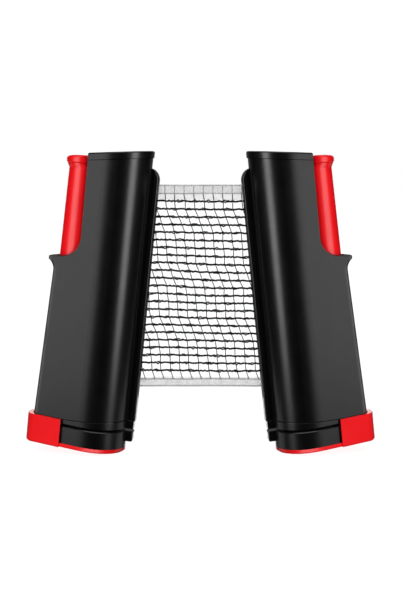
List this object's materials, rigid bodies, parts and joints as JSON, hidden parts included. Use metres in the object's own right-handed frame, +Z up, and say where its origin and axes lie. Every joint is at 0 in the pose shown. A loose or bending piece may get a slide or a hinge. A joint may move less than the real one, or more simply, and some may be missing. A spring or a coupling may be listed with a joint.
{
  "type": "retractable table tennis net with clamp posts",
  "caption": "Retractable table tennis net: spring clamp posts with red push handles and jaws, joined by a thread net that winds onto a sprung roller.",
  "frame": {"origin": "centre of the bounding box, at its lowest point", "axes": "+X along the net from the roller post to the other, +Y to the back, +Z up"},
  "size_m": [0.2704, 0.0457, 0.2289],
  "materials": {
    "black_shell": "satin moulded ABS, light grain",
    "black_inner": "matte moulded plastic",
    "red_shell": "glossy moulded ABS",
    "rubber": "matte",
    "steel": "bright zinc plated",
    "spring_steel": "oiled",
    "net_cord": "knotted nylon thread",
    "net_tape": "thin woven tape"
  },
  "bodies": {
    "left_post": {"left_housing": "black_shell", "left_top_cap": "black_shell", "left_base_cap": "black_shell", "left_net_rail": "black_shell", "left_upper_pad": "rubber", "left_base_screws": "steel", "left_cap_screws": "steel", "left_rod_bush": "steel", "left_clamp_spring": "spring_steel", "roller_axle": "steel", "roller_washers": "steel", "spring_anchor": "black_inner", "power_spring": "spring_steel"},
    "left_jaw": {"left_push_column": "red_shell", "left_spring_seat": "black_inner", "left_slide_rod": "steel", "left_jaw_shell": "red_shell", "left_jaw_block": "black_shell", "left_jaw_pad": "rubber", "left_jaw_screws": "steel", "left_rod_screw": "steel"},
    "roller": {"roller_core": "black_inner", "roller_lower_flange": "black_inner", "roller_upper_flange": "black_inner", "net_roll": "net_cord"},
    "right_post": {"right_housing": "black_shell", "right_top_cap": "black_shell", "right_base_cap": "black_shell", "right_net_rail": "black_shell", "right_upper_pad": "rubber", "right_base_screws": "steel", "right_cap_screws": "steel", "right_rod_bush": "steel", "right_clamp_spring": "spring_steel", "anchor_core": "black_inner", "anchor_lower_flange": "black_inner", "anchor_upper_flange": "black_inner", "anchor_axle": "steel", "net_hem": "net_tape", "net_mesh": "net_cord", "net_top_tape": "net_tape", "net_bottom_tape": "net_tape"},
    "right_jaw": {"right_push_column": "red_shell", "right_spring_seat": "black_inner", "right_slide_rod": "steel", "right_jaw_shell": "red_shell", "right_jaw_block": "black_shell", "right_jaw_pad": "rubber", "right_jaw_screws": "steel", "right_rod_screw": "steel"}
  },
  "joints": [
    {"name": "net_extension", "type": "slide", "parent": "left_post", "child": "right_post", "axis": [1, 0, 0], "range_m": [-0.053, 1.62], "deforming": ["net_mesh", "net_top_tape", "net_bottom_tape"]},
    {"name": "roller_spin", "type": "hinge", "parent": "left_post", "child": "roller", "pos_m": [-0.08015, 0, 0.00225], "axis": [0.1019, 0, 0.9948], "range_deg": [-257, 7648], "deforming": ["power_spring"]},
    {"name": "left_clamp", "type": "slide", "parent": "left_post", "child": "left_jaw", "axis": [-0.1019, 0, -0.9948], "range_m": [0, 0.05], "stiffness_N_per_m": 600, "springref_m": -0.03, "deforming": ["left_clamp_spring"]},
    {"name": "right_clamp", "type": "slide", "parent": "right_post", "child": "right_jaw", "axis": [0.1019, 0, -0.9948], "range_m": [0, 0.05], "stiffness_N_per_m": 600, "springref_m": -0.03, "deforming": ["right_clamp_spring"]}
  ],
  "couplings": [
    {"joint": "roller_spin", "follows": "net_extension", "rad_per_m": 81.967}
  ]
}
